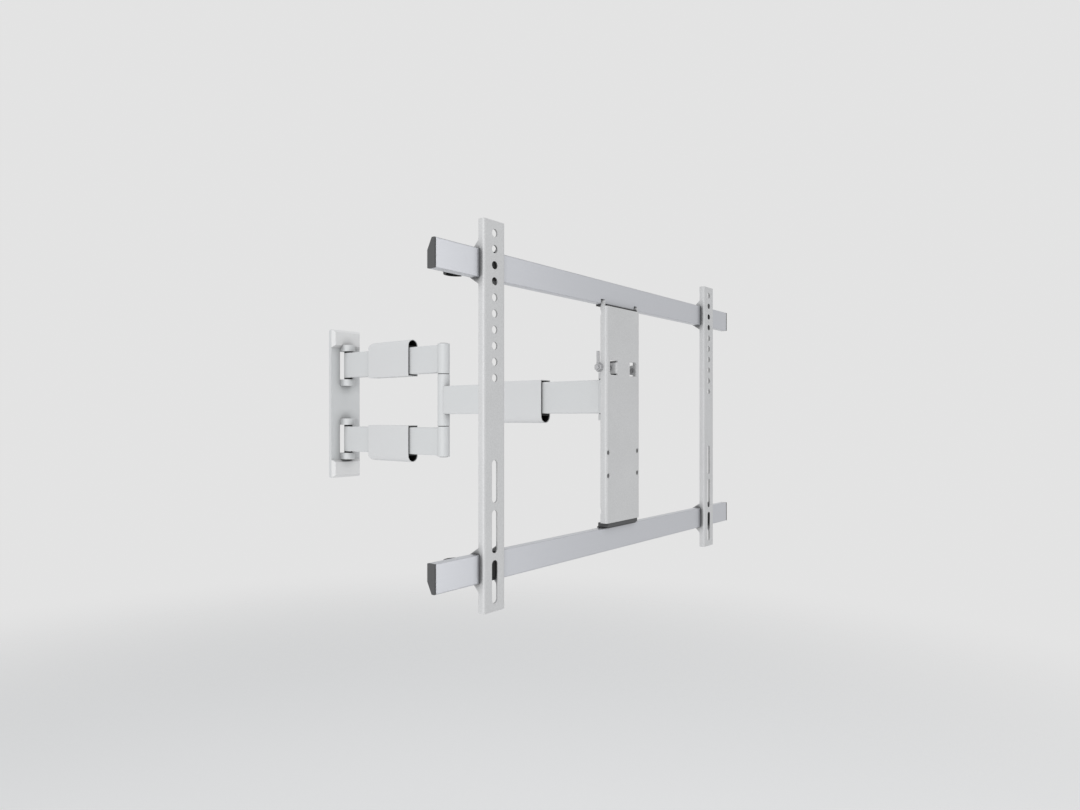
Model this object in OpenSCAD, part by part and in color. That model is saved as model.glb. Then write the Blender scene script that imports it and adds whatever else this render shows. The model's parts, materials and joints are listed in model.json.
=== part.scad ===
// Swivelling wall mount: two rear arms, one front arm, and a head with rails and brackets.
// +X runs along the wall, -Y points out of the wall and +Z is up.
// The origin lies on the wall, midway between the two rear arms.

/* [Wall plate] */
// Width of the wall plate
plate_w = 66; // [60:1:80]
// Thickness of the wall plate
plate_t = 7; // [5:0.5:7]
// Height of the plate's top edge above the origin
plate_up = 139; // [139:1:150]
// Distance of the plate's bottom edge below the origin
plate_down = 145; // [145:1:160]
// Corner radius of the wall plate
plate_r = 4; // [2:0.5:6]
// Radius of the two wall screw holes
wall_screw_r = 3.5; // [2.5:0.5:4]
// Distance of each wall screw hole from the plate's end
wall_screw_in = 16; // [14:1:18]
// Distance of the wall pivot's axis from the wall
pivot_out = 15.5; // [15.5:0.5:18]
// Radius of the ears that hold the pivot pins
ear_r = 12.2; // [11:0.1:13]
// Thickness of each ear
ear_t = 12.3; // [10:0.1:12.5]
// Space above and below an arm between its two ears
ear_air = 3.15; // [2.6:0.05:4]
// Width of the window behind each arm end
window_w = 26.4; // [24:0.2:30]
// Radius of the wall pivot pins
wall_pin_r = 5; // [4:0.5:5]

/* [Caps] */
// Depth of the plastic caps in front of the plate
cap_d = 6.9; // [5:0.1:8]
// Slope of the caps' sides, measured along the plate
cap_slope = 4.9; // [3:0.1:6]
// Length of the front face of each cap
cap_face = 25; // [22:0.5:25]
// Wall thickness of the caps
cap_wall = 1.8; // [1.2:0.1:2.5]

/* [Arms] */
// Thickness of an arm
arm_t = 16; // [14:0.5:16]
// Height of an arm
arm_h = 47.7; // [44:0.1:48]
// Wall thickness of the arm tubes
arm_wall = 1.8; // [1.5:0.1:2.5]
// Edge radius of the arm tubes
arm_r = 2; // [1:0.1:3]
// Height of each rear arm's middle above or below the origin
arm_z = 70.8; // [70:0.1:72]
// Distance of the elbow's axis from the wall
elbow_out = 280.6; // [260:0.2:300]
// Distance of the head's vertical axis from the wall
pan_out = 612; // [600:1:620]
// Radius of the barrels at the elbow and head
barrel_r = 10.4; // [10:0.1:10.8]
// Length of an end casting from its axis to the tube
neck_l = 18; // [16:0.5:20]
// Length of the plug that holds a casting in its tube
plug_l = 14; // [10:1:20]
// Height of a rear elbow barrel above and below its arm
barrel_over = 1.75; // [1:0.05:2.5]
// Gap between two elbow barrels
barrel_gap = 1.2; // [1.2:0.1:2]
// Radius of the elbow pin
elbow_pin_r = 5.5; // [4.5:0.5:5.5]

/* [Cable covers] */
// Length of each cable cover
cover_l = 111; // [90:1:120]
// Width of each cable cover
cover_w = 22.3; // [22.3:0.1:24]
// Wall thickness of the cover shells
cover_wall = 1.15; // [1:0.05:1.4]
// Distance from the wall to the rear covers
rear_cover_out = 91; // [80:1:110]
// Distance from the wall to the front cover
front_cover_out = 391.6; // [380:0.2:400]
// Radius of the duct's round wall-side end
duct_end_r = 9; // [5:0.5:11]

/* [Head] */
// Width of the head plate
head_w = 86; // [80:1:90]
// Height of the head plate's top edge above the origin
head_up = 122; // [118:0.1:122.5]
// Distance of the head plate's bottom edge below the origin
head_down = 173.9; // [170:0.1:173.9]
// Depth of the head plate's side flanges
head_d = 10; // [8:0.5:10]
// Distance from the head's vertical axis to its front face
head_ahead = 30; // [30:0.5:34]
// Sheet thickness of the head plate
head_t = 2.5; // [2:0.1:2.5]
// Distance of the tilt axle behind the head's front face
tilt_set = 11.5; // [11:0.1:12]
// Height of the tilt axle above the origin
tilt_z = 38.7; // [36:0.1:42]
// Radius of the tilt axle
axle_r = 3; // [2.5:0.5:3]
// Distance of each folded ear's outer face from the middle
fold_x = 18; // [17:0.5:20]
// Height of the hole that each folded ear leaves
fold_h = 20; // [19:0.1:22]
// Length of that hole
fold_l = 17; // [16:0.5:18]
// Radius of the vertical pan pin
pan_pin_r = 4; // [3:0.5:4.5]

/* [Rails] */
// Length of each rail without its end caps
rail_l = 700; // [680:5:720]
// Height of each rail
rail_h = 31.5; // [30:0.5:31.5]
// Depth of each rail
rail_d = 10.5; // [9.5:0.1:10.5]
// Distance of the rails' face behind the head's front face
rail_set = 6.4; // [6:0.1:6.8]
// Height of the top rail's lower edge above the origin
rail_z = 124.9; // [124.9:0.1:126]
// Height of the level midway between the two rails
rail_mid = -28.1; // [-28.2:0.1:-28]
// Wall thickness of the rails
rail_wall = 1.6; // [1.2:0.1:2]
// Depth of the bevel along each rail's outer rear edge
bevel_d = 6.6; // [5:0.1:7]
// Height of that bevel
bevel_h = 12.5; // [10:0.5:14]

/* [Brackets] */
// Distance of each bracket's middle from the rails' end
bracket_in = 82.5; // [82:0.5:250]
// Width of each bracket
bracket_w = 35; // [32:0.5:36]
// Height of the brackets' top end above the origin
bracket_up = 189.3; // [185:0.1:200]
// Length of each bracket
bracket_l = 435; // [430:1:450]
// Depth of the brackets' flanges
bracket_d = 8.3; // [8:0.1:9]
// Sheet thickness of the brackets
bracket_t = 2; // [1.5:0.1:2.2]
// Radius of the screw holes in the brackets
hole_r = 4.5; // [3:0.1:4.5]
// Distance from one hole to the next
hole_pitch = 17.93; // [15:0.01:18]
// Length of each slot
slot_l = 48; // [40:1:48]
// Distance from one slot to the next
slot_pitch = 55.85; // [55:0.05:56]
// Clearance between the rails and the brackets' windows
slide_gap = 0.3; // [0.2:0.05:0.4]

/* [Hidden] */
$fn = 64;

// Radial clearance of a pin in its bore
fit = 0.05;
// Clearance of parts that are pushed together
snug = 0.03;
// Overlap that keeps cuts and joined shapes clean
eps = 0.5;

// Wall plate
plate_h = plate_up + plate_down;
plate_mid = (plate_up - plate_down) / 2;
ear_gap = arm_h + 2 * ear_air;
ear_low = arm_z - ear_gap / 2 - ear_t;
ear_high = arm_z + ear_gap / 2;
ear_top = ear_high + ear_t;
cap_base = cap_face + 2 * cap_slope;
cap_notch_gap = 0.3;
pin_chamfer = 0.8;

// Distances of the head's parts from the wall
front_out = pan_out + head_ahead;
tilt_out = front_out - tilt_set;
rail_out = front_out - rail_set;

// Clearance between pieces that are stacked
seat_gap = 0.1;

// Wall pivot bushes
bush_wall = 1;
bush_sleeve = 12;
washer_air = 0.2;
wall_bush_r = wall_pin_r + bush_wall;
wall_flange_t = ear_air - washer_air;
wall_flange_r = arm_t / 2 - washer_air;

// Elbow
rear_low = arm_z - arm_h / 2 - barrel_over;
rear_top = arm_z + arm_h / 2 + barrel_over;
sleeve_half = rear_low - barrel_gap;
elbow_bush_wall = 1.5;
flange_step = 0.9;
elbow_bush_r = elbow_pin_r + elbow_bush_wall;
elbow_flange_r = barrel_r - flange_step;
sleeve_lap = 4;
socket_r = 8.3;
socket_d = 8;
plug_t = 2.8;
plug_dome = 0.9;
plug_bevel = 1.2;
bolt_head_t = 4.8;
bolt_head_r = 7.6;
bolt_tip_gap = 1;

// Head casting and swivel block
arm_half = arm_h / 2;
pan_bush_wall = 2;
pan_bush_r = pan_pin_r + pan_bush_wall;
pan_flange_t = 1.2;
pan_flange_r = barrel_r - flange_step;
pan_gap = pan_flange_t + washer_air;
clevis_t = 8.5;
clevis_low = arm_half + pan_gap;
clevis_top = clevis_low + clevis_t;
web_air = 1.2;
web_t = 3.4;
web_in = pan_out + barrel_r + web_air;
web_out = web_in + web_t;
block_half = fold_x - head_t - washer_air;
tilt_barrel_r = 7.4;
pan_head_r = 6.8;
pan_head_t = 3;
pan_bolt_end = 2;

// Head plate
head_bend_r = 3.5;
hole_corner_r = 4;
ear_cut = 2.3;
ear_side_h = fold_h - 2 * ear_cut;
ear_corner_r = 3;
fold_end_out = front_out - fold_l - head_t + ear_cut;
flange_ear_r = 7;
scallop_r = 8;
scallop_d = 1.2;
scallop_top_in = 9.4;
scallop_bottom_in = 16.5;
tip_reach = 4.6;
tip_in = 3.5;
rivet_in = 5.5;
rivet_x = head_w / 2 - rivet_in;
rivet_top_z = -77.6;
rivet_pitch = 31.6;
rivet_z = [rivet_top_z, rivet_top_z - rivet_pitch];
rivet_r = 2;
sink_r = 4.25;
sink_d = 1.9;
rivet_sunk = 1.1;
tail_r = 2.85;
tail_edge = 0.6;
tail_t = 1.3;

// Jaws that hold the rails
jaw_t = 2.4;
jaw_half = head_w / 2 - head_bend_r;
jaw_leg_out = front_out - head_t - snug;
jaw_leg_in = jaw_leg_out - jaw_t;
jaw_leg_top = 60;
jaw_leg_bottom = 62;
shelf_t = 1.6;
lip_t = 2.4;
lip_l = 11;
lip_gap = 0.3;
rail_back = rail_out - rail_d;
lip_out = rail_back - lip_gap;
lip_in = lip_out - lip_t;
top_shelf_z = rail_z - seat_gap - shelf_t;
bottom_rail_z = 2 * rail_mid - rail_z;
bottom_shelf_z = bottom_rail_z + seat_gap + shelf_t;
pad_in = 5;
pad_half = head_w / 2 - pad_in;
pad_wall = 1.4;
low_jaw_half = pad_half - pad_wall;
rail_screw_x = 24;
rail_screw_r = 2.5;
rail_screw_out = rail_out - rail_d / 2;
rail_screw_head_r = 4.4;
rail_screw_head_t = 3;
rail_screw_l = 10;

// Rails
notch_in = 5;
notch_over = 4;
notch_x0 = head_w / 2 - notch_in;
notch_x1 = head_w / 2 + notch_over;
notch_h = 6;
end_cap_t = 2.5;
end_cap_gap = 0.2;
end_plug_l = 9;
bevel_run = bevel_d / bevel_h;
bevel_shift = rail_wall * sqrt(1 + bevel_run * bevel_run);

// Brackets
bracket_bend_r = 2.8;
bracket_x = rail_l / 2 - bracket_in;
hole_top = 13.7;
holes = 10;
slots = 3;
slot_low_in = 33;
slot_low_z = bracket_up - bracket_l + slot_low_in;
lug_d = 21.5;
lug_over = 9.8;
lug_under = 7.4;
lug_back_rise = 1.1;
lug_back_out = front_out - lug_d;
lug_top = rail_z + rail_h + lug_over;
lug_bottom = rail_z - lug_under;
lug_back_bottom = rail_z + lug_back_rise;
glide_under = 2.3;
glide_short = 4.4;
glide_low = rail_z - glide_under;
glide_high = rail_z + rail_h - glide_short;
glide_air = 0.1;

// Cable clips
clip_r = 14;
clip_wall = 2.6;
clip_h = 20;
clip_in = 52.7;
clip_mouth = 9;
clip_foot_w = 15;
clip_foot_t = 3.4;
clip_foot_h = 14;
top_clip_up = 4.1;
bottom_clip_up = 6.4;

// Colours
grey_paint = [0.83, 0.84, 0.85];
cap_grey = [0.88, 0.88, 0.88];
silver = [0.74, 0.75, 0.78];
steel = [0.6, 0.6, 0.62];
black = [0.07, 0.07, 0.08];
dark_grey = [0.3, 0.31, 0.32];

// Helper shapes

// Section drawn as x and z, pushed out from the wall
module push_out(start, length)
    translate([0, -start, 0])
        rotate([90, 0, 0])
            linear_extrude(length)
                children();

// Profile drawn as y and z, drawn across from x0 to x1
module across(x0, x1)
    translate([x0, 0, 0])
        rotate([90, 0, 90])
            linear_extrude(x1 - x0)
                children();

// Upright round bar at a distance from the wall
module post(out, z0, z1, r)
    translate([0, -out, z0])
        cylinder(r = r, h = z1 - z0);

// Box between two distances from the wall
module block(half_w, in, out, z0, z1)
    translate([-half_w, -out, z0])
        cube([2 * half_w, out - in, z1 - z0]);

// Bar along X on a given axis
module cross_bar(x0, x1, out, z, r)
    translate([x0, -out, z])
        rotate([0, 90, 0])
            cylinder(r = r, h = x1 - x0);

// Rectangle with round corners
module round_box(w, h, r) {
    square([w - 2 * r, h], center = true);
    square([w, h - 2 * r], center = true);
    for (sx = [-1, 1], sy = [-1, 1])
        translate([sx * (w / 2 - r), sy * (h / 2 - r)])
            circle(r);
}

// Folded channel: front at y = 0, flanges towards +y
module channel_section(w, d, t, r) {
    difference() {
        channel_outline(w, d, r);
        translate([0, t])
            channel_outline(w - 2 * t, d, r - t);
    }
}

module channel_outline(w, d, r) {
    translate([-w / 2, r])
        square([w, d - r]);
    translate([-w / 2 + r, 0])
        square([w - 2 * r, d]);
    for (sx = [-1, 1])
        translate([sx * (w / 2 - r), r])
            circle(r);
}

// Pin with a small chamfer at both ends
module pin(out, z0, z1, r)
    translate([0, -out, z0])
        rotate_extrude()
            polygon([[0, 0], [r - pin_chamfer, 0], [r, pin_chamfer], [r, z1 - z0 - pin_chamfer],
                [r - pin_chamfer, z1 - z0], [0, z1 - z0]]);

// Flanged bush whose sleeve points down
module bush(r_in, r_out, flange_r, flange_t)
    difference() {
        union() {
            cylinder(r = flange_r, h = flange_t);
            translate([0, 0, -bush_sleeve])
                cylinder(r = r_out - snug, h = bush_sleeve + flange_t);
        }
        translate([0, 0, -bush_sleeve - eps])
            cylinder(r = r_in + fit, h = bush_sleeve + flange_t + 2 * eps);
    }

module flip_z()
    mirror([0, 0, 1])
        children();

// Copy to the lower rail's place
module at_lower_rail()
    translate([0, 0, 2 * rail_mid])
        flip_z()
            children();

// Wall plate

module plate_outline()
    translate([0, plate_mid])
        round_box(plate_w, plate_h, plate_r);

module ear(z0) {
    post(pivot_out, z0, z0 + ear_t, ear_r);
    block(ear_r, plate_t - eps, pivot_out, z0, z0 + ear_t);
}

module wall_plate()
    color(grey_paint)
        difference() {
            union() {
                push_out(0, plate_t)
                    plate_outline();
                for (side = [0, 1])
                    mirror([0, 0, side]) {
                        ear(ear_low);
                        ear(ear_high);
                    }
            }
            for (side = [0, 1])
                mirror([0, 0, side]) {
                    block(window_w / 2, -eps, plate_t + eps, arm_z - ear_gap / 2, ear_high);
                    post(pivot_out, ear_low - eps, ear_top + eps, wall_pin_r + fit);
                }
            for (z = [plate_up - wall_screw_in, -plate_down + wall_screw_in])
                translate([0, eps, z])
                    rotate([90, 0, 0])
                        cylinder(r = wall_screw_r, h = plate_t + 2 * eps);
        }

// Block with sloping sides: depth along y, length along z from its outer end
module cap_block(half_w, length, d, slope)
    intersection() {
        translate([0, 0, -length])
            linear_extrude(length)
                polygon([[-half_w, 0], [half_w, 0], [half_w - slope, -d], [slope - half_w, -d]]);
        across(-half_w, half_w)
            polygon([[0, 0], [-d, -slope], [-d, slope - length], [0, -length]]);
    }

module wall_cap(end_z)
    difference() {
        intersection() {
            translate([0, -plate_t, end_z])
                cap_block(plate_w / 2, cap_base, cap_d, cap_slope);
            translate([0, 0, end_z - plate_up])
                push_out(plate_t, cap_d)
                    plate_outline();
        }
        translate([0, -plate_t + eps, end_z - cap_wall])
            cap_block(plate_w / 2 - cap_wall, cap_base - 2 * cap_wall, cap_d - cap_wall + eps, cap_slope);
        post(pivot_out, ear_high - eps, ear_top + cap_notch_gap, ear_r + cap_notch_gap);
        block(ear_r + cap_notch_gap, 0, pivot_out, ear_high - eps, ear_top + cap_notch_gap);
    }

module wall_cap_top()
    color(cap_grey)
        wall_cap(plate_up);

module wall_cap_bottom()
    color(cap_grey)
        flip_z()
            wall_cap(plate_down);

module wall_pins()
    color(steel)
        for (side = [0, 1])
            mirror([0, 0, side])
                pin(pivot_out, ear_low + pin_chamfer, ear_top - pin_chamfer, wall_pin_r);

module wall_bushes()
    color(black)
        for (side = [0, 1])
            mirror([0, 0, side])
                translate([0, -pivot_out, arm_z])
                    for (way = [0, 1])
                        mirror([0, 0, way])
                            translate([0, 0, arm_half])
                                bush(wall_pin_r, wall_bush_r, wall_flange_r, wall_flange_t);

// Arms

module arm_outline()
    round_box(arm_t, arm_h, arm_r);

module tube_section()
    difference() {
        arm_outline();
        round_box(arm_t - 2 * arm_wall, arm_h - 2 * arm_wall, arm_r / 2);
    }

module plug_section()
    round_box(arm_t - 2 * arm_wall - 2 * snug, arm_h - 2 * arm_wall - 2 * snug, arm_r / 2);

module rear_tube()
    translate([0, 0, arm_z])
        push_out(pivot_out + neck_l, elbow_out - pivot_out - 2 * neck_l)
            tube_section();

module upper_arm_tube()
    color(grey_paint)
        rear_tube();

module lower_arm_tube()
    color(grey_paint)
        flip_z()
            rear_tube();

module wall_end()
    difference() {
        union() {
            post(pivot_out, arm_z - arm_half, arm_z + arm_half, arm_t / 2);
            translate([0, 0, arm_z]) {
                push_out(pivot_out, neck_l)
                    square([arm_t, arm_h], center = true);
                push_out(pivot_out + neck_l - eps, plug_l + eps)
                    plug_section();
            }
        }
        post(pivot_out, arm_z - arm_half - eps, arm_z + arm_half + eps, wall_bush_r);
    }

module upper_wall_end()
    color(grey_paint)
        wall_end();

module lower_wall_end()
    color(grey_paint)
        flip_z()
            wall_end();

module elbow_end()
    difference() {
        union() {
            post(elbow_out, rear_low, rear_top, barrel_r);
            translate([0, 0, arm_z]) {
                push_out(elbow_out - neck_l, neck_l)
                    arm_outline();
                push_out(elbow_out - neck_l - plug_l, plug_l + eps)
                    plug_section();
            }
        }
        post(elbow_out, rear_low - eps, rear_top + eps, elbow_pin_r + fit);
        post(elbow_out, rear_top - socket_d, rear_top + eps, socket_r);
    }

module upper_elbow_end()
    color(grey_paint)
        elbow_end();

module lower_elbow_end()
    color(grey_paint)
        flip_z()
            elbow_end();

module elbow_bolt()
    color(steel) {
        pin(elbow_out, -rear_top + plug_t + bolt_tip_gap, rear_top - socket_d + eps, elbow_pin_r);
        post(elbow_out, rear_top - socket_d + snug, rear_top - socket_d + bolt_head_t, bolt_head_r);
    }

module elbow_nut()
    color(steel)
        difference() {
            translate([0, -elbow_out, -rear_top + socket_d - bolt_head_t])
                cylinder(r = bolt_head_r, h = bolt_head_t - snug, $fn = 6);
            post(elbow_out, -rear_top, -rear_low, elbow_pin_r + fit);
        }

module elbow_plugs()
    color(dark_grey)
        for (side = [0, 1])
            mirror([0, 0, side])
                translate([0, -elbow_out, rear_top - plug_t])
                    rotate_extrude()
                        polygon([[0, 0], [socket_r - fit, 0], [socket_r - fit, plug_t],
                            [socket_r - plug_bevel, plug_t + plug_dome], [0, plug_t + plug_dome]]);

module elbow_sleeve()
    color(grey_paint)
        difference() {
            union() {
                post(elbow_out, -sleeve_half, sleeve_half, barrel_r);
                push_out(elbow_out, barrel_r + plug_l)
                    plug_section();
            }
            post(elbow_out, -sleeve_half - eps, sleeve_half + eps, elbow_bush_r);
        }

module elbow_bushes()
    color(black)
        for (side = [0, 1])
            mirror([0, 0, side])
                translate([0, -elbow_out, sleeve_half])
                    bush(elbow_pin_r, elbow_bush_r, elbow_flange_r, barrel_gap - washer_air);

module front_arm_tube()
    color(grey_paint)
        difference() {
            push_out(elbow_out + sleeve_lap, pan_out - neck_l - elbow_out - sleeve_lap)
                tube_section();
            post(elbow_out, -arm_h, arm_h, barrel_r + snug);
        }

module front_head_end()
    color(grey_paint)
        difference() {
            union() {
                post(pan_out, -arm_half, arm_half, barrel_r);
                push_out(pan_out - neck_l, neck_l)
                    arm_outline();
                push_out(pan_out - neck_l - plug_l, plug_l + eps)
                    plug_section();
            }
            post(pan_out, -arm_half - eps, arm_half + eps, pan_bush_r);
        }

module pan_bushes()
    color(black)
        for (side = [0, 1])
            mirror([0, 0, side])
                translate([0, -pan_out, arm_half])
                    bush(pan_pin_r, pan_bush_r, pan_flange_r, pan_flange_t);

// Cable covers

liner_t = (cover_w - arm_t) / 2 - cover_wall;
cover_half_h = arm_half + liner_t + cover_wall;
duct_z = cover_half_h;
duct_void_r = cover_w / 2 - cover_wall - liner_t / 2;
liner_end = 1.2;

// Outline of a sleeve with its round duct on top
module duct_outline(shrink) {
    translate([shrink - cover_w / 2, shrink - cover_half_h])
        square([cover_w - 2 * shrink, cover_half_h + duct_z - shrink]);
    translate([0, duct_z])
        circle(cover_w / 2 - shrink);
}

// Side view that rounds the duct's wall-side end
module duct_side(out)
    across(-cover_w, cover_w)
        difference() {
            translate([-out - cover_l, -cover_half_h - eps])
                square([cover_l, 2 * cover_half_h + cover_w]);
            translate([-out - duct_end_r, duct_z + cover_w / 2 - duct_end_r])
                difference() {
                    square(duct_end_r + cover_w);
                    circle(duct_end_r);
                }
        }

module cover_shell(out)
    intersection() {
        push_out(out, cover_l)
            difference() {
                duct_outline(0);
                duct_outline(cover_wall);
            }
        duct_side(out);
    }

module cover_liner(out)
    intersection() {
        push_out(out + liner_end, cover_l - 2 * liner_end)
            difference() {
                duct_outline(cover_wall + snug);
                square([arm_t + 2 * snug, arm_h + 2 * snug], center = true);
                intersection() {
                    translate([0, duct_z])
                        circle(duct_void_r);
                    translate([-cover_w, duct_z])
                        square(2 * cover_w);
                }
            }
        duct_side(out);
    }

module upper_cover()
    color(grey_paint)
        translate([0, 0, arm_z])
            cover_shell(rear_cover_out);

module lower_cover()
    color(grey_paint)
        flip_z()
            translate([0, 0, arm_z])
                cover_shell(rear_cover_out);

module front_cover()
    color(grey_paint)
        flip_z()
            cover_shell(front_cover_out);

module upper_liner()
    color(black)
        translate([0, 0, arm_z])
            cover_liner(rear_cover_out);

module lower_liner()
    color(black)
        flip_z()
            translate([0, 0, arm_z])
                cover_liner(rear_cover_out);

module front_liner()
    color(black)
        flip_z()
            cover_liner(front_cover_out);

// Swivel block between the pan bolt and the tilt axle

module swivel_block()
    color(silver)
        difference() {
            union() {
                for (side = [0, 1])
                    mirror([0, 0, side]) {
                        post(pan_out, clevis_low, clevis_top, barrel_r);
                        block(barrel_r, pan_out, web_out, clevis_low, clevis_top);
                    }
                block(block_half, web_in, web_out, -clevis_top, tilt_z + tilt_barrel_r);
                cross_bar(-block_half, block_half, tilt_out, tilt_z, tilt_barrel_r);
            }
            post(pan_out, -clevis_top - eps, clevis_top + eps, pan_pin_r + fit);
            cross_bar(-block_half - eps, block_half + eps, tilt_out, tilt_z, axle_r + fit);
        }

module pan_bolt()
    color(steel) {
        pin(pan_out, -clevis_top - pan_head_t - pan_bolt_end, clevis_top + eps, pan_pin_r);
        post(pan_out, clevis_top + snug, clevis_top + pan_head_t, pan_head_r);
    }

module pan_nut()
    color(steel)
        difference() {
            translate([0, -pan_out, -clevis_top - pan_head_t])
                cylinder(r = pan_head_r, h = pan_head_t - snug, $fn = 6);
            post(pan_out, -clevis_top - 2 * pan_head_t, -clevis_low, pan_pin_r + fit);
        }

// Head

// Side view of a folded ear, run past the front face
module ear_side_view()
    translate([-fold_end_out - (front_out - fold_end_out + ear_corner_r) / 2, tilt_z])
        round_box(front_out - fold_end_out + ear_corner_r, ear_side_h, ear_corner_r);

// Ear folded back out of the plate, on the +x side
module folded_ear()
    intersection() {
        translate([0, 0, tilt_z - fold_h])
            linear_extrude(2 * fold_h) {
                translate([fold_x - head_t, -front_out + head_t])
                    square([head_t, front_out - fold_end_out]);
                intersection() {
                    translate([fold_x - head_t, -front_out + head_t])
                        circle(head_t);
                    translate([fold_x - head_t, -front_out])
                        square(head_t);
                }
            }
        across(0, head_w / 2)
            ear_side_view();
    }

// Hole that the folded ear leaves in the plate
module fold_hole()
    push_out(front_out - head_t - eps, head_t + 2 * eps)
        translate([fold_x, tilt_z]) {
            translate([-head_t, -fold_h / 2])
                square([fold_l + head_t - hole_corner_r, fold_h]);
            translate([0, hole_corner_r - fold_h / 2])
                square([fold_l, fold_h - 2 * hole_corner_r]);
            for (end = [-1, 1])
                translate([fold_l - hole_corner_r, end * (fold_h / 2 - hole_corner_r)])
                    circle(hole_corner_r);
        }

// Side flange details: round ear at the axle and tip under the top rail
module flange_extras()
    across(head_w / 2 - head_t, head_w / 2) {
        translate([-tilt_out, tilt_z])
            circle(flange_ear_r);
        translate([-front_out + head_bend_r, head_up - eps])
            square([tip_in + head_t, rail_z + tip_reach - head_up + eps]);
    }

module head_plate()
    color(silver)
        difference() {
            union() {
                difference() {
                    translate([0, -front_out, -head_down])
                        linear_extrude(head_up + head_down)
                            channel_section(head_w, head_d, head_t, head_bend_r);
                    for (side = [0, 1])
                        mirror([side, 0, 0])
                            fold_hole();
                }
                for (side = [0, 1])
                    mirror([side, 0, 0]) {
                        folded_ear();
                        flange_extras();
                    }
            }
            cross_bar(-head_w, head_w, tilt_out, tilt_z, axle_r + fit);
            for (z = [head_up - scallop_top_in, -head_down + scallop_bottom_in])
                cross_bar(-head_w, head_w, front_out - head_d - scallop_r + scallop_d, z, scallop_r);
            for (z = rivet_z, side = [-1, 1])
                inward(side * rivet_x, z)
                    polygon([[0, -eps], [sink_r, -eps], [sink_r, 0], [rivet_r + fit, sink_d],
                        [rivet_r + fit, head_t + eps], [0, head_t + eps]]);
        }

axle_head_x = head_w / 2 + snug;
axle_head_t = 4;
axle_head_r = 5.4;
nut_t = 3.6;
washer_t = 1.6;
washer_rim = 0.6;
axle_end = 2;

module tilt_axle()
    color(steel) {
        cross_bar(-head_w / 2 - nut_t - washer_t - axle_end, axle_head_x + eps, tilt_out, tilt_z, axle_r);
        translate([axle_head_x, -tilt_out, tilt_z])
            rotate([0, 90, 0])
                cylinder(r = axle_head_r, h = axle_head_t, $fn = 6);
    }

module tilt_nut()
    color(steel)
        difference() {
            translate([-axle_head_x - washer_t - nut_t, -tilt_out, tilt_z])
                rotate([0, 90, 0])
                    cylinder(r = axle_head_r, h = nut_t - snug, $fn = 6);
            cross_bar(-head_w, 0, tilt_out, tilt_z, axle_r + fit);
        }

tab_w = 4;
tab_h = 22.3;

// Washer with a tongue that stands up beside the flange
module tab_washer()
    color(steel)
        across(-axle_head_x - washer_t, -axle_head_x)
            translate([-tilt_out, tilt_z])
                difference() {
                    union() {
                        circle(axle_head_r + washer_rim);
                        square([tab_w, tab_h]);
                    }
                    circle(axle_r + fit);
                }

// Round shape on the head's front face: profile drawn as radius and depth
module inward(x, z)
    translate([x, -front_out, z])
        rotate([-90, 0, 0])
            rotate_extrude()
                children();

// Radius of a rivet's sunk head where it meets the plate's cone
rivet_face_r = sink_r - (sink_r - rivet_r - fit) * rivet_sunk / sink_d - fit;
tail_depth = head_t + jaw_t + 2 * snug;

module rivet(x, z)
    inward(x, z)
        polygon([[0, rivet_sunk], [rivet_face_r, rivet_sunk], [rivet_r, sink_d], [rivet_r, tail_depth],
            [tail_r, tail_depth], [tail_r - tail_edge, tail_depth + tail_t], [0, tail_depth + tail_t]]);

module head_rivets()
    color(black)
        for (z = rivet_z, side = [-1, 1])
            rivet(side * rivet_x, z);

// Leg, shelf and lip of a folded jaw: z values run away from the head plate's middle
module jaw_side(leg_z0, shelf_z0)
    polygon([[-jaw_leg_out, leg_z0], [-jaw_leg_in, leg_z0], [-jaw_leg_in, shelf_z0],
        [-lip_in, shelf_z0], [-lip_in, shelf_z0 + lip_l], [-lip_out, shelf_z0 + lip_l],
        [-lip_out, shelf_z0 + shelf_t], [-jaw_leg_out, shelf_z0 + shelf_t]]);

module rail_jaw_top()
    color(black)
        difference() {
            across(-jaw_half, jaw_half)
                jaw_side(jaw_leg_top, top_shelf_z);
            for (side = [-1, 1])
                translate([side * rail_screw_x, 0, 0])
                    post(rail_screw_out, top_shelf_z - eps, rail_z + eps, rail_screw_r + fit);
        }

module rail_jaw_bottom()
    color(black)
        difference() {
            across(-jaw_half, jaw_half)
                mirror([0, 1])
                    jaw_side(jaw_leg_bottom, -bottom_shelf_z);
            for (side = [-1, 1]) {
                translate([side * rail_screw_x, 0, 0])
                    post(rail_screw_out, bottom_rail_z - eps, bottom_shelf_z + eps, rail_screw_r + fit);
                translate([side * (low_jaw_half + pad_half), 0, 0])
                    block(pad_half, lip_in - eps, front_out, bottom_rail_z - 2 * lip_l, -head_down);
                for (z = rivet_z)
                    translate([side * rivet_x, 0, z])
                        push_out(jaw_leg_in - eps, jaw_t + 2 * eps)
                            circle(rivet_r + fit);
            }
        }

// Moulding that fills the gap between the plate and the lower shelf, slotted for the jaw's leg
module jaw_pad()
    color(dark_grey)
        difference() {
            block(pad_half, lip_out, jaw_leg_out + snug + pad_wall, bottom_shelf_z + snug, -head_down - seat_gap);
            block(low_jaw_half + snug, jaw_leg_in - snug, jaw_leg_out + snug, bottom_rail_z, -head_down);
            for (side = [-1, 1])
                translate([side * rail_screw_x, 0, 0])
                    post(rail_screw_out, bottom_rail_z, -head_down, rail_screw_head_r + fit);
        }

// Screw through a jaw's shelf: its head bears at z0 and its shank points away from the middle
module rail_screw(x, z0)
    translate([x, -rail_screw_out, z0]) {
        translate([0, 0, -rail_screw_head_t])
            cylinder(r = rail_screw_head_r, h = rail_screw_head_t - snug);
        translate([0, 0, -eps])
            cylinder(r = rail_screw_r, h = shelf_t + rail_screw_l + eps);
    }

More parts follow.
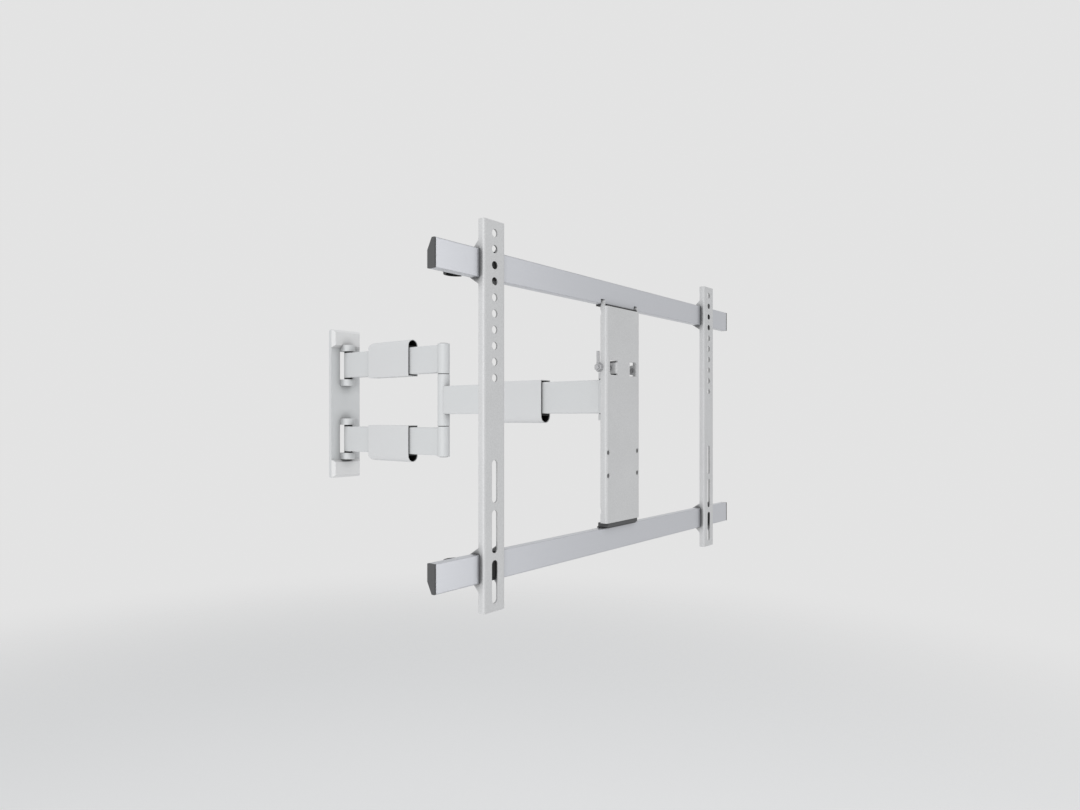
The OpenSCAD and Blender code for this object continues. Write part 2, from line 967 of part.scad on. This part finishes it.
module rail_screws()
    color(steel)
        for (side = [-1, 1]) {
            rail_screw(side * rail_screw_x, top_shelf_z);
            flip_z()
                rail_screw(side * rail_screw_x, -bottom_shelf_z);
        }

// Rails

module rail_outline(t) {
    top = rail_z + rail_h;
    polygon([[-rail_out + t, rail_z + t], [-rail_out + t, top - t],
        [-rail_back - bevel_d - t / rail_wall * bevel_shift + t * bevel_run, top - t],
        [-rail_back - t, top - bevel_h - (t / rail_wall * bevel_shift - t) / bevel_run],
        [-rail_back - t, rail_z + t]]);
}

module rail_body()
    difference() {
        across(-rail_l / 2, rail_l / 2)
            difference() {
                rail_outline(0);
                rail_outline(rail_wall);
            }
        for (side = [-1, 1])
            translate([side * rail_screw_x, 0, 0])
                post(rail_screw_out, rail_z - eps, rail_z + rail_wall + eps, rail_screw_r + fit);
    }

// Room for the tips of the head plate's flanges
module tip_notches()
    for (side = [-1, 1])
        translate([side * (notch_x0 + notch_x1) / 2, 0, 0]) {
            block((notch_x1 - notch_x0) / 2, rail_out - rail_wall - eps, rail_out + eps,
                rail_z - eps, rail_z + notch_h);
            block((notch_x1 - notch_x0) / 2, front_out - head_d - eps, rail_out + eps,
                rail_z - eps, rail_z + rail_wall + eps);
        }

module rail_top()
    color(silver)
        difference() {
            rail_body();
            tip_notches();
        }

module rail_bottom()
    color(silver)
        at_lower_rail()
            rail_body();

module rail_end_cap() {
    across(rail_l / 2 + end_cap_gap, rail_l / 2 + end_cap_gap + end_cap_t)
        rail_outline(0);
    across(rail_l / 2 - end_plug_l, rail_l / 2 + end_cap_gap + eps)
        rail_outline(rail_wall + snug);
}

module rail_end_caps()
    color(dark_grey)
        for (side = [0, 1])
            mirror([side, 0, 0]) {
                rail_end_cap();
                at_lower_rail()
                    rail_end_cap();
            }

// Split ring on a foot behind the rail, open towards the rail's middle
module clip(up)
    translate([clip_in - rail_l / 2, clip_r - rail_back, rail_z + up]) {
        difference() {
            cylinder(r = clip_r, h = clip_h);
            translate([0, 0, -eps])
                cylinder(r = clip_r - clip_wall, h = clip_h + 2 * eps);
            translate([0, -clip_mouth / 2, -eps])
                cube([2 * clip_r, clip_mouth, clip_h + 2 * eps]);
        }
        difference() {
            translate([-clip_foot_w / 2, -clip_r, 0])
                cube([clip_foot_w, clip_foot_t, clip_foot_h]);
            translate([0, 0, -eps])
                cylinder(r = clip_r - clip_wall, h = clip_h + 2 * eps);
        }
    }

module cable_clips()
    color(black)
        translate([0, snug, 0]) {
            clip(top_clip_up);
            at_lower_rail()
                clip(bottom_clip_up);
        }

// Brackets

module lug_profile()
    polygon([[-front_out + bracket_d - eps, lug_top + eps], [-front_out + bracket_d, lug_top],
        [-lug_back_out, lug_top - front_out + bracket_d + lug_back_out], [-lug_back_out, lug_back_bottom],
        [-front_out + bracket_d, lug_bottom], [-front_out + bracket_d - eps, lug_bottom]]);

// Space around a rail, larger than the rail by the slide clearance
module rail_space()
    across(-bracket_w, bracket_w)
        rail_outline(-slide_gap);

module lugs()
    difference() {
        across(-bracket_w / 2, bracket_w / 2)
            lug_profile();
        translate([-bracket_w / 2 + bracket_t, -front_out, lug_bottom - eps])
            cube([bracket_w - 2 * bracket_t, 2 * bracket_w, lug_top]);
    }

module bracket()
    difference() {
        union() {
            translate([0, -front_out, bracket_up - bracket_l])
                linear_extrude(bracket_l)
                    channel_section(bracket_w, bracket_d, bracket_t, bracket_bend_r);
            lugs();
            at_lower_rail()
                lugs();
        }
        rail_space();
        at_lower_rail()
            rail_space();
        for (n = [0 : holes - 1])
            translate([0, 0, bracket_up - hole_top - n * hole_pitch])
                push_out(front_out - bracket_t - eps, bracket_t + 2 * eps)
                    circle(hole_r);
        for (n = [0 : slots - 1])
            translate([0, 0, slot_low_z + n * slot_pitch])
                push_out(front_out - bracket_t - eps, bracket_t + 2 * eps) {
                    square([2 * hole_r, slot_l - 2 * hole_r], center = true);
                    for (end = [-1, 1])
                        translate([0, end * (slot_l / 2 - hole_r)])
                            circle(hole_r);
                }
    }

module glide_pad()
    block(bracket_w / 2 - bracket_bend_r, rail_out + glide_air, front_out - bracket_t, glide_low, glide_high);

module glide_pads() {
    glide_pad();
    at_lower_rail()
        glide_pad();
}

module bracket_left()
    color(silver)
        translate([-bracket_x, 0, 0])
            bracket();

module bracket_right()
    color(silver)
        translate([bracket_x, 0, 0])
            bracket();

module glide_pads_left()
    color(black)
        translate([-bracket_x, 0, 0])
            glide_pads();

module glide_pads_right()
    color(black)
        translate([bracket_x, 0, 0])
            glide_pads();

wall_plate();
wall_cap_top();
wall_cap_bottom();
wall_pins();
wall_bushes();
upper_arm_tube();
lower_arm_tube();
upper_wall_end();
lower_wall_end();
upper_elbow_end();
lower_elbow_end();
elbow_bolt();
elbow_nut();
elbow_plugs();
upper_cover();
lower_cover();
upper_liner();
lower_liner();
elbow_sleeve();
elbow_bushes();
front_arm_tube();
front_head_end();
pan_bushes();
front_cover();
front_liner();
swivel_block();
pan_bolt();
pan_nut();
head_plate();
tilt_axle();
tilt_nut();
tab_washer();
head_rivets();
rail_jaw_top();
rail_jaw_bottom();
jaw_pad();
rail_screws();
rail_top();
rail_bottom();
rail_end_caps();
cable_clips();
bracket_left();
bracket_right();
glide_pads_left();
glide_pads_right();
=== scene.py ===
import json
import math

import bpy
import bmesh
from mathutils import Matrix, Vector


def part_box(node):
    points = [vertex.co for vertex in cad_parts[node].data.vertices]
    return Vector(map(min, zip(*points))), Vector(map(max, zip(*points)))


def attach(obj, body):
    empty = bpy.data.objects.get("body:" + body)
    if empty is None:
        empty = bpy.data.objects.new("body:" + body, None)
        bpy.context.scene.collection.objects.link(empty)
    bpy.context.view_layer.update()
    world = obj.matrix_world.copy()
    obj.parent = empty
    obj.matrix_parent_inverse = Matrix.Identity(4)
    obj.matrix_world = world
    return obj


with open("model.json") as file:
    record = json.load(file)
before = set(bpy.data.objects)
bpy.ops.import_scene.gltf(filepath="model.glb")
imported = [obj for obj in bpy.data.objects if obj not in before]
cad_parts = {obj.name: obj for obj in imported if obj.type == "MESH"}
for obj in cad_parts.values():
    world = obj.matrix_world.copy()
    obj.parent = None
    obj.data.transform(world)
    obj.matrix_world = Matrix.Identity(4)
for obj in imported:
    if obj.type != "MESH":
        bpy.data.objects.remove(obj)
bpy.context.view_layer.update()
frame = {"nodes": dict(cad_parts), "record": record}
nodes = frame["nodes"]

MM = 0.001

# Camera, fitted to the edges of the rails, brackets and arms in a frame of 1080 by 810
FRAME_W = 1080
FOCAL_PX = 728.4
HORIZON_BELOW_MIDDLE_PX = 12.66
CAMERA_PLACE = (-868.3 * MM, -1189.2 * MM, -30.0 * MM)
CAMERA_TURN = 51.23
SENSOR = 36.0
CLIP_START = 0.01
CLIP_END = 100.0

# Floor under the mount, which fades into the colour behind it
FLOOR_Z = -0.95
FLOOR_RADIUS = 9.0
FLOOR_SEGMENTS = 96
FLOOR_TONE = 0.94
FLOOR_ROUGHNESS = 0.9
FADE_FROM = 1.3
FADE_TO = 3.2
BACK_COLOR = (0.77, 0.77, 0.77, 1.0)

# Soft light from all round, and what the lamps are aimed at
SOFT_COLOR = (0.97, 0.985, 1.0, 1.0)
SOFT_STRENGTH = 0.5
LAMP_AIM = (0.0, -0.35, 0.0)

# Powder coat: fine orange peel over a broad, faint cloudiness
NOISE_MEAN = 0.5
PEEL_DETAIL = 3.0
PEEL_ROUGHNESS = 0.65
CLOUD_SCALE = 14.0
CLOUD_DETAIL = 2.0
CLOUD_SHARE = 0.35

# Drawn lines along X on the anodised rails
LINE_STRETCH = (6.0, 2200.0, 2200.0)
LINE_DETAIL = 2.0

# Painted shade in corners: the share of its colour that a surface keeps in the deepest corner,
# and the samples of the occlusion that paints it
DARKEST_PAINTED_SHADE = 0.15
CORNER_SAMPLES = 8

EDGE_SAMPLES = 6
RELIEF_DEPTH = 0.05 * MM

# Pieces whose finish differs from the rest of their slot: the brackets keep the silver coat with
# much deeper painted corner shade, and the head rivets get a worn black coat
OWN_COAT_AND_PAINTED_SHADE = {"bracket_left": "bracket_coat_deep_painted_shade", "bracket_right": "bracket_coat_deep_painted_shade",
            "head_rivets": "worn_black"}

# Friction shims: half width of the barrel between them, seat gap, thickness, depth and height
TILT_BARREL_HALF = 15.3 * MM
SHIM_SEAT = 0.03 * MM
SHIM_T = 0.14 * MM
SHIM_DEEP = 15.0 * MM
SHIM_H = 19.6 * MM
SHIM_CORNER = 4.0 * MM
SHIM_CORNER_STEPS = 5
HEAD_SHEET = 2.5 * MM


# Node helpers

def new_node(tree, kind, **values):
    node = tree.nodes.new(kind)
    for name, value in values.items():
        setattr(node, name, value)
    return node


def join(tree, source, target):
    tree.links.new(source, target)


def calc(tree, operation, *values):
    """Math node whose inputs are sockets or plain numbers. Gives its result."""
    node = new_node(tree, "ShaderNodeMath", operation=operation)
    for socket, value in zip(node.inputs, values):
        if isinstance(value, bpy.types.NodeSocket):
            join(tree, value, socket)
        else:
            socket.default_value = value
    return node.outputs[0]


def mix_shaders(tree, factor, first, second):
    mixed = new_node(tree, "ShaderNodeMixShader")
    for socket, source in zip(mixed.inputs, (factor, first, second)):
        join(tree, source, socket)
    return mixed.outputs["Shader"]


def new_group(name, inputs, outputs):
    """Node group with float sockets. inputs: name to default; outputs: names."""
    group = bpy.data.node_groups.new(name, "ShaderNodeTree")
    for label, default in inputs.items():
        socket = group.interface.new_socket(name=label, in_out="INPUT",
                                            socket_type="NodeSocketFloat")
        socket.default_value = default
    for label in outputs:
        group.interface.new_socket(name=label, in_out="OUTPUT", socket_type="NodeSocketFloat")
    return group, new_node(group, "NodeGroupInput"), new_node(group, "NodeGroupOutput")


# Effects that several finishes share

def powder_coat_group():
    """Orange-peel height and a faint speckle of a powder coat or of moulded plastic."""
    group, put_in, put_out = new_group(
        "powder_coat", {"Grain Scale": 900.0, "Speckle": 0.05}, ("Height", "Shade"))
    place = new_node(group, "ShaderNodeTexCoord")
    fine = new_node(group, "ShaderNodeTexNoise")
    fine.inputs["Detail"].default_value = PEEL_DETAIL
    fine.inputs["Roughness"].default_value = PEEL_ROUGHNESS
    join(group, place.outputs["Object"], fine.inputs["Vector"])
    join(group, put_in.outputs["Grain Scale"], fine.inputs["Scale"])
    broad = new_node(group, "ShaderNodeTexNoise")
    broad.inputs["Scale"].default_value = CLOUD_SCALE
    broad.inputs["Detail"].default_value = CLOUD_DETAIL
    join(group, place.outputs["Object"], broad.inputs["Vector"])
    both = calc(group, "MULTIPLY_ADD", broad.outputs["Fac"], CLOUD_SHARE, fine.outputs["Fac"])
    centred = calc(group, "SUBTRACT", both, NOISE_MEAN * (1.0 + CLOUD_SHARE))
    shade = calc(group, "MULTIPLY_ADD", centred, put_in.outputs["Speckle"], 1.0)
    join(group, fine.outputs["Fac"], put_out.inputs["Height"])
    join(group, shade, put_out.inputs["Shade"])
    return group


def drawn_lines_group():
    """Fine lines along X, as a drawn and anodised profile has."""
    group, put_in, put_out = new_group(
        "drawn_lines", {"Line Scale": 1.0, "Strength": 0.1}, ("Height", "Shade"))
    place = new_node(group, "ShaderNodeTexCoord")
    stretch = new_node(group, "ShaderNodeMapping")
    stretch.inputs["Scale"].default_value = LINE_STRETCH
    join(group, place.outputs["Object"], stretch.inputs["Vector"])
    lines = new_node(group, "ShaderNodeTexNoise")
    lines.inputs["Detail"].default_value = LINE_DETAIL
    join(group, stretch.outputs["Vector"], lines.inputs["Vector"])
    join(group, put_in.outputs["Line Scale"], lines.inputs["Scale"])
    centred = calc(group, "SUBTRACT", lines.outputs["Fac"], NOISE_MEAN)
    shade = calc(group, "MULTIPLY_ADD", centred, put_in.outputs["Strength"], 1.0)
    join(group, lines.outputs["Fac"], put_out.inputs["Height"])
    join(group, shade, put_out.inputs["Shade"])
    return group


def painted_corner_shade_group():
    """Painted shade: ambient occlusion darkens the colour deep in the corners where two pieces or
    two walls meet.
    """
    group, put_in, put_out = new_group("painted_corner_shade", {"Reach": 0.012, "Depth": 0.5}, ("Shade",))
    corner = new_node(group, "ShaderNodeAmbientOcclusion", samples=CORNER_SAMPLES)
    join(group, put_in.outputs["Reach"], corner.inputs["Distance"])
    closed = calc(group, "SUBTRACT", 1.0, corner.outputs["AO"])
    darker = calc(group, "MULTIPLY", closed, put_in.outputs["Depth"])
    shade = calc(group, "SUBTRACT", 1.0, darker)
    join(group, calc(group, "MAXIMUM", shade, DARKEST_PAINTED_SHADE), put_out.inputs["Shade"])
    return group


POWDER_COAT = powder_coat_group()
DRAWN_LINES = drawn_lines_group()
PAINTED_CORNER_SHADE = painted_corner_shade_group()


# Finishes

def surface(name, color, roughness, texture, values, bump, metallic=0.0, edge=0.4,
            specular=0.5, rough_swing=0.0, corner=(0.02, 0.9)):
    """Material whose colour, roughness and relief come from one texture group, with painted shade
    darkening the colour in corners.

    edge is the radius of the softened edges in mm, and corner is the reach in
    metres and the depth of the painted corner shade.
    """
    material = bpy.data.materials.new(name)
    material.use_nodes = True
    tree = material.node_tree
    shader = tree.nodes["Principled BSDF"]
    shader.inputs["Base Color"].default_value = (*color, 1.0)
    shader.inputs["Roughness"].default_value = roughness
    shader.inputs["Metallic"].default_value = metallic
    shader.inputs["Specular IOR Level"].default_value = specular
    relief = new_node(tree, "ShaderNodeBump")
    relief.inputs["Distance"].default_value = RELIEF_DEPTH
    relief.inputs["Strength"].default_value = bump
    soft_edge = new_node(tree, "ShaderNodeBevel", samples=EDGE_SAMPLES)
    soft_edge.inputs["Radius"].default_value = edge * MM
    join(tree, soft_edge.outputs["Normal"], relief.inputs["Normal"])
    grain = new_node(tree, "ShaderNodeGroup", node_tree=texture)
    for socket, value in values.items():
        grain.inputs[socket].default_value = value
    join(tree, grain.outputs["Height"], relief.inputs["Height"])
    join(tree, relief.outputs["Normal"], shader.inputs["Normal"])
    # Painted shade: ambient occlusion darkens the colour in corners and between pieces,
    # multiplied with the coat's speckle into the base colour
    corners = new_node(tree, "ShaderNodeGroup", node_tree=PAINTED_CORNER_SHADE)
    corners.inputs["Reach"].default_value, corners.inputs["Depth"].default_value = corner
    tone_and_painted_shade = new_node(tree, "ShaderNodeMix", data_type="RGBA", blend_type="MULTIPLY")
    tone_and_painted_shade.inputs["Factor"].default_value = 1.0
    tone_and_painted_shade.inputs["A"].default_value = (*color, 1.0)
    shade = calc(tree, "MULTIPLY", grain.outputs["Shade"], corners.outputs["Shade"])
    join(tree, shade, tone_and_painted_shade.inputs["B"])
    join(tree, tone_and_painted_shade.outputs["Result"], shader.inputs["Base Color"])
    if rough_swing:
        swing = new_node(tree, "ShaderNodeMapRange")
        swing.inputs["To Min"].default_value = roughness - rough_swing
        swing.inputs["To Max"].default_value = roughness + rough_swing
        join(tree, grain.outputs["Height"], swing.inputs["Value"])
        join(tree, swing.outputs["Result"], shader.inputs["Roughness"])
    return material


def coat(grain_scale, speckle):
    """Texture of surface(): the powder coat at one grain and speckle."""
    return {"texture": POWDER_COAT,
            "values": {"Grain Scale": grain_scale, "Speckle": speckle}}


def make_finishes():
    """Finishes by the record's slots, and the extra finishes for single pieces: a worn black
    coat, and the silver coat with much deeper painted corner shade.
    """
    moulded = dict(roughness=0.55, bump=0.12, **coat(1500.0, 0.04))
    silver = dict(color=(0.58, 0.582, 0.585), roughness=0.5, metallic=0.1, bump=0.35,
                  rough_swing=0.08, edge=0.5, **coat(600.0, 0.4))
    # Every finish carries painted corner shade; corner gives its reach in metres and its depth,
    # (0.02, 0.9) where it is not given
    return {
        "painted": surface("light_grey_coat", color=(0.64, 0.65, 0.655), roughness=0.5,
                           bump=0.25, rough_swing=0.06, **coat(900.0, 0.1)),
        "cap_plastic": surface("cap_plastic", color=(0.73, 0.73, 0.73), **moulded),
        "cover_plastic": surface("cover_plastic", color=(0.66, 0.665, 0.67), **moulded),
        "black_plastic": surface("black_plastic", color=(0.007, 0.007, 0.0075), roughness=0.55,
                                 bump=0.2, specular=0.3, **coat(1300.0, 0.3)),
        "dark_plastic": surface("dark_plastic", color=(0.07, 0.071, 0.073), roughness=0.6,
                                bump=0.2, **coat(1300.0, 0.2)),
        "steel": surface("zinc_steel", color=(0.5, 0.5, 0.51), roughness=0.42, metallic=0.6,
                         bump=0.1, rough_swing=0.08, corner=(0.006, 0.4), **coat(400.0, 0.15)),
        "silver_paint": surface("silver_coat", corner=(0.012, 0.5), **silver),
        # The brackets' silver coat with much deeper painted shade in its corners, where the rails
        # pass the bracket flanges
        "bracket_coat_deep_painted_shade": surface("bracket_coat_deep_painted_shade", corner=(0.014, 2.0), **silver),
        "anodised": surface("anodised_profile", color=(0.55, 0.56, 0.59), roughness=0.33,
                            metallic=0.7, bump=0.04, edge=2.0, corner=(0.012, 0.7),
                            texture=DRAWN_LINES, values={"Line Scale": 1.0, "Strength": 0.05}),
        "worn_black": surface("worn_black", color=(0.11, 0.11, 0.112), roughness=0.4,
                              metallic=0.2, bump=0.2, **coat(700.0, 0.3)),
        "black_steel": surface("black_coat", color=(0.02, 0.02, 0.022), roughness=0.45,
                               bump=0.25, **coat(900.0, 0.2)),
    }


def dress_nodes(finishes):
    slot_of = {row["node"]: row["material_slot"] for row in frame["record"]["subparts"]}
    for name, piece in nodes.items():
        finish = OWN_COAT_AND_PAINTED_SHADE.get(name, slot_of[name])
        piece.data.materials.clear()
        piece.data.materials.append(finishes[finish])


def new_object(name, data):
    item = bpy.data.objects.new(name, data)
    bpy.context.scene.collection.objects.link(item)
    return item


def mesh_from(bm, name):
    mesh = bpy.data.meshes.new(name)
    bm.to_mesh(mesh)
    bm.free()
    return mesh


# Friction shims between the head plate's ears and the tilt barrel

def make_shim(name, low, high, finish):
    """Thin plate between two corners, with its rear corners rounded."""
    bm = bmesh.new()
    bmesh.ops.create_cube(bm, size=1.0)
    size = high - low
    bmesh.ops.scale(bm, verts=bm.verts, vec=size)
    bmesh.ops.translate(bm, verts=bm.verts, vec=(low + high) / 2)
    rear = [edge for edge in bm.edges
            if all(vert.co.y > high.y - size.y / 4 for vert in edge.verts)
            and abs(edge.verts[0].co.x - edge.verts[1].co.x) > size.x / 2]
    bmesh.ops.bevel(bm, geom=rear, offset=SHIM_CORNER, offset_type="OFFSET", affect="EDGES",
                    segments=SHIM_CORNER_STEPS, profile=0.5, material=-1)
    mesh = mesh_from(bm, name)
    mesh.materials.append(finish)
    shim = new_object(name, mesh)
    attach(shim, "head")


def make_shims(finish):
    plate_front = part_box("head_plate")[0][1]
    axle_low, axle_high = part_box("tilt_axle")
    axle_z = (axle_low[2] + axle_high[2]) / 2
    inner = TILT_BARREL_HALF + SHIM_SEAT
    front = plate_front + HEAD_SHEET + SHIM_SEAT
    for side, name in ((-1, "tilt_shim_left"), (1, "tilt_shim_right")):
        near = side * inner
        far = side * (inner + SHIM_T)
        low = Vector((min(near, far), front, axle_z - SHIM_H / 2))
        high = Vector((max(near, far), front + SHIM_DEEP, axle_z + SHIM_H / 2))
        make_shim(name, low, high, finish)


# Stage

def make_camera():
    data = bpy.data.cameras.new("camera")
    data.sensor_width = SENSOR
    data.lens = SENSOR * FOCAL_PX / FRAME_W
    data.shift_y = HORIZON_BELOW_MIDDLE_PX / FRAME_W
    data.clip_start = CLIP_START
    data.clip_end = CLIP_END
    camera = new_object("camera", data)
    camera.location = CAMERA_PLACE
    camera.rotation_euler = (math.radians(90), 0, math.radians(-CAMERA_TURN))
    bpy.context.scene.camera = camera


def pale_floor_finish():
    """Matt pale floor that turns clear with the distance from the mount."""
    material = bpy.data.materials.new("pale_floor")
    material.use_nodes = True
    tree = material.node_tree
    shader = tree.nodes["Principled BSDF"]
    shader.inputs["Base Color"].default_value = (FLOOR_TONE, FLOOR_TONE, FLOOR_TONE, 1.0)
    shader.inputs["Roughness"].default_value = FLOOR_ROUGHNESS
    shader.inputs["Specular IOR Level"].default_value = 0.0
    place = new_node(tree, "ShaderNodeTexCoord")
    reach = new_node(tree, "ShaderNodeVectorMath", operation="LENGTH")
    join(tree, place.outputs["Object"], reach.inputs[0])
    fade = new_node(tree, "ShaderNodeMapRange", interpolation_type="SMOOTHSTEP")
    fade.inputs["From Min"].default_value = FADE_FROM
    fade.inputs["From Max"].default_value = FADE_TO
    join(tree, reach.outputs["Value"], fade.inputs["Value"])
    clear = new_node(tree, "ShaderNodeBsdfTransparent")
    mixed = mix_shaders(tree, fade.outputs["Result"], shader.outputs["BSDF"],
                        clear.outputs["BSDF"])
    join(tree, mixed, tree.nodes["Material Output"].inputs["Surface"])
    return material


def make_floor():
    bm = bmesh.new()
    bmesh.ops.create_circle(bm, cap_ends=True, segments=FLOOR_SEGMENTS, radius=FLOOR_RADIUS)
    bmesh.ops.translate(bm, verts=bm.verts, vec=(0, 0, FLOOR_Z))
    floor = new_object("floor", mesh_from(bm, "floor"))
    floor.data.materials.append(pale_floor_finish())


def make_world():
    """Plain backdrop for the camera and for reflections, soft light for all else."""
    world = bpy.data.worlds.new("studio")
    world.use_nodes = True
    bpy.context.scene.world = world
    tree = world.node_tree
    tree.nodes.clear()
    rays = new_node(tree, "ShaderNodeLightPath")
    seen = new_node(tree, "ShaderNodeBackground")
    seen.inputs["Color"].default_value = BACK_COLOR
    seen.inputs["Strength"].default_value = 1.0
    soft = new_node(tree, "ShaderNodeBackground")
    soft.inputs["Color"].default_value = SOFT_COLOR
    soft.inputs["Strength"].default_value = SOFT_STRENGTH
    seen_by = calc(tree, "MAXIMUM", rays.outputs["Is Camera Ray"], rays.outputs["Is Glossy Ray"])
    mixed = mix_shaders(tree, seen_by, soft.outputs["Background"], seen.outputs["Background"])
    out = new_node(tree, "ShaderNodeOutputWorld")
    join(tree, mixed, out.inputs["Surface"])


def soft_lamp(name, place, size, power):
    data = bpy.data.lights.new(name, "AREA")
    data.shape = "RECTANGLE"
    data.size, data.size_y = size
    data.energy = power
    lamp = new_object(name, data)
    lamp.location = place
    lamp.rotation_euler = (Vector(LAMP_AIM) - Vector(place)).to_track_quat("-Z", "Y").to_euler()


def make_lamps():
    soft_lamp("left_lamp", place=(-2.6, -1.3, 0.2), size=(2.2, 2.2), power=42.0)
    soft_lamp("right_card", place=(1.07, -2.82, 0.1), size=(1.1, 2.8), power=11.0)
    soft_lamp("top_lamp", place=(0.2, -0.6, 3.2), size=(2.6, 2.6), power=34.0)


make_camera()
make_floor()
make_world()
make_lamps()
finishes = make_finishes()
dress_nodes(finishes)
make_shims(finishes["black_plastic"])

bpy.context.scene.view_settings.view_transform = "Standard"
